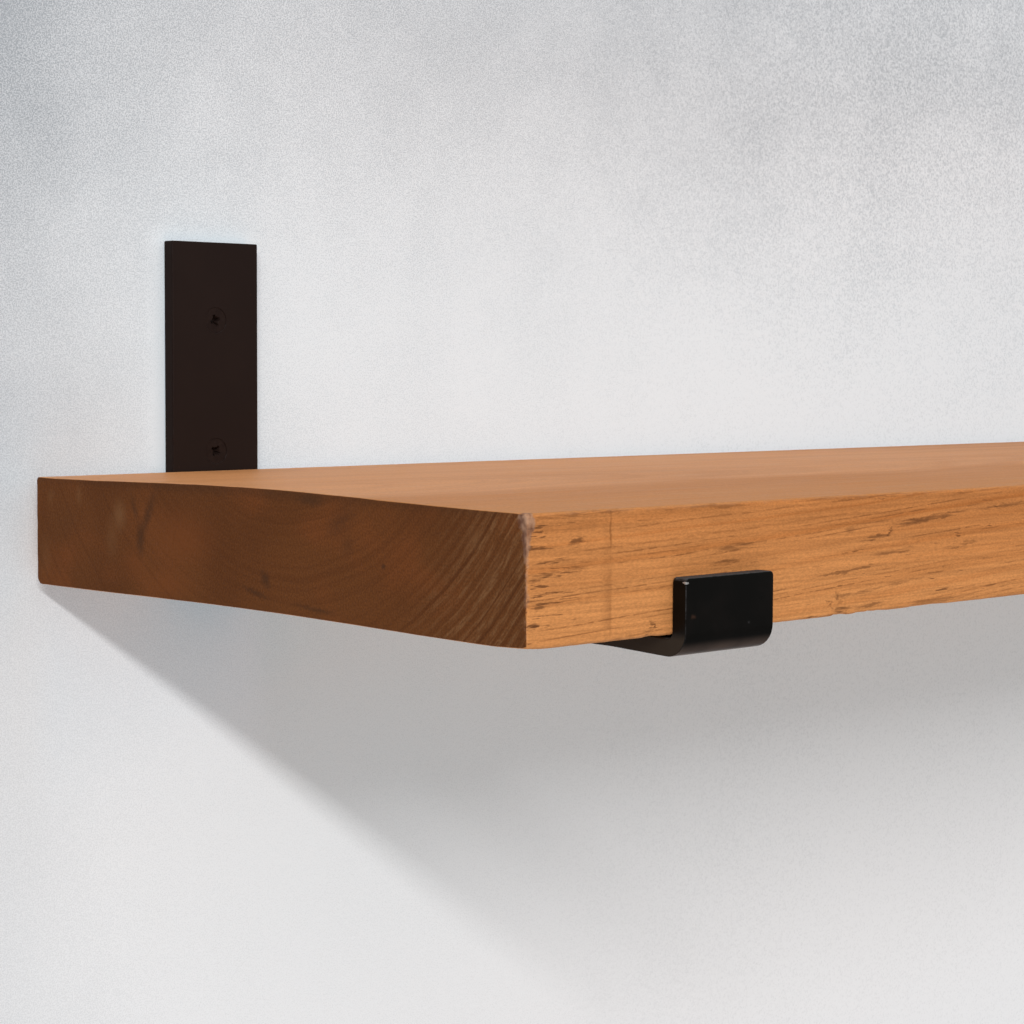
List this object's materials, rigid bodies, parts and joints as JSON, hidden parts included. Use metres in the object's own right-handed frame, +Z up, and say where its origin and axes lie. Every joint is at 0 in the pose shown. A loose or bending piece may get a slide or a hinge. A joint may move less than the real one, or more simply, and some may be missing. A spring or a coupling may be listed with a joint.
{
  "type": "wall shelf",
  "caption": "Thick solid wood wall shelf lying in bent black flat-bar brackets, each with an upstand screwed to the wall, an arm under the board and a short lip over its front edge.",
  "frame": {"origin": "on the wall's face, at the middle of the board's length, level with the long upper edges of the board", "axes": "+X along the wall to the right as seen from the room, +Y into the wall, +Z up"},
  "size_m": [0.9, 0.3263, 0.1337],
  "materials": {
    "board_wood": "stained warm brown and waxed, worn edges",
    "bracket_black": "satin black with small chips",
    "wall_screw_black": "blackened",
    "board_screw_zinc": "zinc plated",
    "plug_nylon": "moulded"
  },
  "bodies": {
    "root": {"shelf_board": "board_wood", "left_bracket": "bracket_black", "right_bracket": "bracket_black", "left_upper_wall_screw": "wall_screw_black", "left_lower_wall_screw": "wall_screw_black", "right_upper_wall_screw": "wall_screw_black", "right_lower_wall_screw": "wall_screw_black", "left_upper_wall_plug": "plug_nylon", "left_lower_wall_plug": "plug_nylon", "right_upper_wall_plug": "plug_nylon", "right_lower_wall_plug": "plug_nylon", "left_front_board_screw": "board_screw_zinc", "left_back_board_screw": "board_screw_zinc", "right_front_board_screw": "board_screw_zinc", "right_back_board_screw": "board_screw_zinc"}
  },
  "joints": []
}
